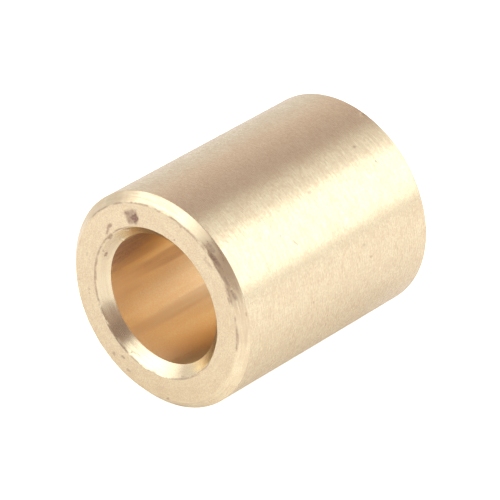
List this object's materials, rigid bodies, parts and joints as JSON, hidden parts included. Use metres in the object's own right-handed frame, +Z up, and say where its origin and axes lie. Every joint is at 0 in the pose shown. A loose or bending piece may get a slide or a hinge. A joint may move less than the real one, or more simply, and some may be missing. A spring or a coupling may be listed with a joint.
{
  "type": "sleeve bushing",
  "caption": "Plain bronze sleeve bushing: a thick-walled ring with a straight through bore and chamfered ends, pressed into a housing to carry a turning shaft.",
  "frame": {"origin": "middle of the bore, on its axis and half way along its length", "axes": "+Y along the bore axis, from the front end to the rear end; +Z up, with the bushing lying on its side"},
  "size_m": [0.02, 0.025, 0.02],
  "materials": {
    "bronze": "turned bronze: satin, finely brushed round the outside, matte on the end faces, brighter on the chamfers"
  },
  "bodies": {
    "root": {"sleeve": "bronze"}
  },
  "joints": []
}
